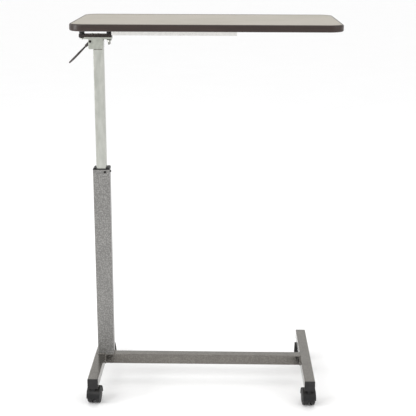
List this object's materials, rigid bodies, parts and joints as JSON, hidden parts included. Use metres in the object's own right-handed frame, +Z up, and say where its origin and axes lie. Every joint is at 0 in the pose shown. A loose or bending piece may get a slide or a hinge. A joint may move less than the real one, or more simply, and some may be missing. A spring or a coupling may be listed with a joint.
{
  "type": "overbed table",
  "caption": "Height-adjustable overbed table: laminate top cantilevered from a telescopic column on an H-shaped base with swivel casters.",
  "frame": {"origin": "on the floor under the middle of the base, which is also the middle of the overall box", "axes": "+X along the top away from the column, +Y to the back, +Z up"},
  "size_m": [0.786, 0.4085, 1.143],
  "materials": {
    "laminate": "satin high-pressure laminate, pale greige",
    "edge": "dark brown moulded edge, satin",
    "core": "chipboard",
    "backing": "matt balancing laminate",
    "zinc_steel": "bright zinc plate",
    "dark_steel": "dark brown paint",
    "bracket_steel": "satin plated steel",
    "column_chrome": "satin chrome plate",
    "hammer_paint": "grey hammertone paint",
    "base_paint": "dark grey vein paint, semi-gloss",
    "mast_steel": "plain steel",
    "black_plastic": "moulded black",
    "caster_plastic": "moulded black, satin",
    "wheel_plastic": "black nylon tread",
    "rubber": "matt black rubber",
    "lever_paint": "dark brown dip coat",
    "nylon": "natural nylon",
    "brake_steel": "plain steel, oiled",
    "spring_steel": "spring steel"
  },
  "bodies": {
    "base": {"left_foot": "base_paint", "right_foot": "base_paint", "cross_beam": "base_paint", "outer_mast": "hammer_paint", "mast_foot_plate": "mast_steel", "mast_bolts": "zinc_steel", "glide_collar": "black_plastic", "collar_screws": "zinc_steel", "caster_sockets": "zinc_steel", "lift_spring": "spring_steel", "end_cap_front_left": "black_plastic", "end_cap_front_right": "black_plastic", "end_cap_back_left": "black_plastic", "end_cap_back_right": "black_plastic", "caster_stem_front_left": "zinc_steel", "caster_stem_front_right": "zinc_steel", "caster_stem_back_left": "zinc_steel", "caster_stem_back_right": "zinc_steel"},
    "column": {"tabletop_core": "core", "tabletop_laminate": "laminate", "backing_sheet": "backing", "edge_band": "edge", "rail_front": "zinc_steel", "rail_back": "zinc_steel", "rail_screws": "zinc_steel", "mounting_strap": "dark_steel", "strap_screws": "zinc_steel", "strap_bushes": "rubber", "strap_bolts": "zinc_steel", "column_bracket": "bracket_steel", "lever_pin": "zinc_steel", "inner_column": "column_chrome", "rod_guide": "nylon", "brake_housing": "nylon", "housing_pins": "zinc_steel", "brake_spring": "spring_steel"},
    "lever": {"lever_yoke": "lever_paint", "release_handle": "lever_paint"},
    "release_rod": {"release_rod": "brake_steel", "brake_wedge": "brake_steel"},
    "shoe_left": {"brake_shoe_left": "brake_steel"},
    "shoe_right": {"brake_shoe_right": "brake_steel"},
    "swivel_front_left": {"caster_hood_front_left": "caster_plastic", "caster_axle_front_left": "zinc_steel"},
    "wheel_front_left_left": {"caster_wheel_front_left_left": "wheel_plastic"},
    "wheel_front_left_right": {"caster_wheel_front_left_right": "wheel_plastic"},
    "swivel_front_right": {"caster_hood_front_right": "caster_plastic", "caster_axle_front_right": "zinc_steel"},
    "wheel_front_right_left": {"caster_wheel_front_right_left": "wheel_plastic"},
    "wheel_front_right_right": {"caster_wheel_front_right_right": "wheel_plastic"},
    "swivel_back_left": {"caster_hood_back_left": "caster_plastic", "caster_axle_back_left": "zinc_steel"},
    "wheel_back_left_left": {"caster_wheel_back_left_left": "wheel_plastic"},
    "wheel_back_left_right": {"caster_wheel_back_left_right": "wheel_plastic"},
    "swivel_back_right": {"caster_hood_back_right": "caster_plastic", "caster_axle_back_right": "zinc_steel"},
    "wheel_back_right_left": {"caster_wheel_back_right_left": "wheel_plastic"},
    "wheel_back_right_right": {"caster_wheel_back_right_right": "wheel_plastic"}
  },
  "joints": [
    {"name": "table_lift", "type": "slide", "parent": "base", "child": "column", "axis": [0, 0, 1], "range_m": [-0.345, 0], "deforming": ["lift_spring"]},
    {"name": "lever_squeeze", "type": "hinge", "parent": "column", "child": "lever", "pos_m": [-0.3306, 0, 1.0784], "axis": [0, 1, 0], "range_deg": [0, 20], "stiffness_Nm_per_rad": 1.2, "springref_deg": -14.32},
    {"name": "rod_push", "type": "slide", "parent": "column", "child": "release_rod", "axis": [0, 0, -1], "range_m": [0, 0.008], "deforming": ["brake_spring"]},
    {"name": "shoe_left_release", "type": "slide", "parent": "column", "child": "shoe_left", "axis": [1, 0, 0], "range_m": [0, 0.001]},
    {"name": "shoe_right_release", "type": "slide", "parent": "column", "child": "shoe_right", "axis": [-1, 0, 0], "range_m": [0, 0.001]},
    {"name": "caster_swivel_front_left", "type": "hinge", "parent": "base", "child": "swivel_front_left", "pos_m": [-0.32712, -0.1852, 0.05], "axis": [0, 0, 1], "continuous": true},
    {"name": "wheel_spin_front_left_left", "type": "hinge", "parent": "swivel_front_left", "child": "wheel_front_left_left", "pos_m": [-0.3259, -0.17125, 0.025], "axis": [0.9962, -0.0872, 0], "continuous": true},
    {"name": "wheel_spin_front_left_right", "type": "hinge", "parent": "swivel_front_left", "child": "wheel_front_left_right", "pos_m": [-0.3259, -0.17125, 0.025], "axis": [0.9962, -0.0872, 0], "continuous": true},
    {"name": "caster_swivel_front_right", "type": "hinge", "parent": "base", "child": "swivel_front_right", "pos_m": [0.32712, -0.1852, 0.05], "axis": [0, 0, 1], "continuous": true},
    {"name": "wheel_spin_front_right_left", "type": "hinge", "parent": "swivel_front_right", "child": "wheel_front_right_left", "pos_m": [0.3259, -0.17125, 0.025], "axis": [0.9962, 0.0872, 0], "continuous": true},
    {"name": "wheel_spin_front_right_right", "type": "hinge", "parent": "swivel_front_right", "child": "wheel_front_right_right", "pos_m": [0.3259, -0.17125, 0.025], "axis": [0.9962, 0.0872, 0], "continuous": true},
    {"name": "caster_swivel_back_left", "type": "hinge", "parent": "base", "child": "swivel_back_left", "pos_m": [-0.32712, 0.1852, 0.05], "axis": [0, 0, 1], "continuous": true},
    {"name": "wheel_spin_back_left_left", "type": "hinge", "parent": "swivel_back_left", "child": "wheel_back_left_left", "pos_m": [-0.32234, 0.17204, 0.025], "axis": [-0.9397, -0.342, 0], "continuous": true},
    {"name": "wheel_spin_back_left_right", "type": "hinge", "parent": "swivel_back_left", "child": "wheel_back_left_right", "pos_m": [-0.32234, 0.17204, 0.025], "axis": [-0.9397, -0.342, 0], "continuous": true},
    {"name": "caster_swivel_back_right", "type": "hinge", "parent": "base", "child": "swivel_back_right", "pos_m": [0.32712, 0.1852, 0.05], "axis": [0, 0, 1], "continuous": true},
    {"name": "wheel_spin_back_right_left", "type": "hinge", "parent": "swivel_back_right", "child": "wheel_back_right_left", "pos_m": [0.3259, 0.17125, 0.025], "axis": [-0.9962, 0.0872, 0], "continuous": true},
    {"name": "wheel_spin_back_right_right", "type": "hinge", "parent": "swivel_back_right", "child": "wheel_back_right_right", "pos_m": [0.3259, 0.17125, 0.025], "axis": [-0.9962, 0.0872, 0], "continuous": true}
  ],
  "couplings": [
    {"joint": "rod_push", "follows": "lever_squeeze", "m_per_rad": 0.0226},
    {"joint": "shoe_left_release", "follows": "lever_squeeze", "m_per_rad": 0.002825},
    {"joint": "shoe_right_release", "follows": "lever_squeeze", "m_per_rad": 0.002825}
  ]
}
